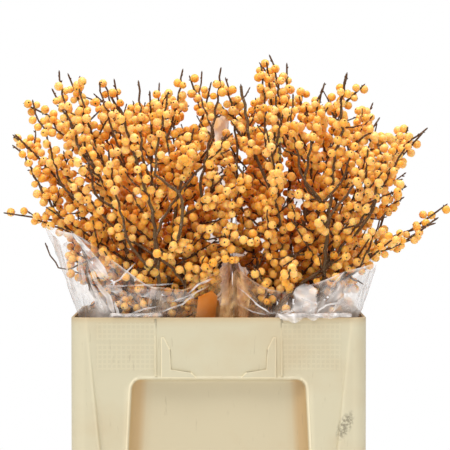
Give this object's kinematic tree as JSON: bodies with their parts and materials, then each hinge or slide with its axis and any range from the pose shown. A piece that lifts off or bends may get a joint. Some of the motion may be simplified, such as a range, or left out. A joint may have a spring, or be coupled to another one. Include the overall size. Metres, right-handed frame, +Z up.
{
  "type": "bucket of winterberry branches",
  "caption": "Cut golden winterberry branches in film sleeves, standing in a cream rectangular flower bucket with water.",
  "frame": {"origin": "middle of the bucket's underside", "axes": "+Z up, -Y the front of the bucket as pictured, +X to the right in the picture"},
  "size_m": [0.4465, 0.2598, 0.5973],
  "materials": {
    "bucket_plastic": "satin",
    "water": "clear, wet",
    "sleeve_film": "clear, crumpled",
    "orange_card": "matte",
    "berried_branch": "golden berries on brown bark"
  },
  "bodies": {
    "root": {"bucket": "bucket_plastic", "water": "water", "sleeve_left": "sleeve_film", "sleeve_right": "sleeve_film", "orange_card": "orange_card", "left_branch_01": "berried_branch", "left_branch_02": "berried_branch", "left_branch_03": "berried_branch", "left_branch_04": "berried_branch", "left_branch_05": "berried_branch", "left_branch_06": "berried_branch", "left_branch_07": "berried_branch", "left_branch_08": "berried_branch", "left_branch_09": "berried_branch", "left_branch_10": "berried_branch", "right_branch_01": "berried_branch", "right_branch_02": "berried_branch", "right_branch_03": "berried_branch", "right_branch_04": "berried_branch", "right_branch_05": "berried_branch", "right_branch_06": "berried_branch", "right_branch_07": "berried_branch", "right_branch_08": "berried_branch", "right_branch_09": "berried_branch", "right_branch_10": "berried_branch"}
  },
  "joints": []
}
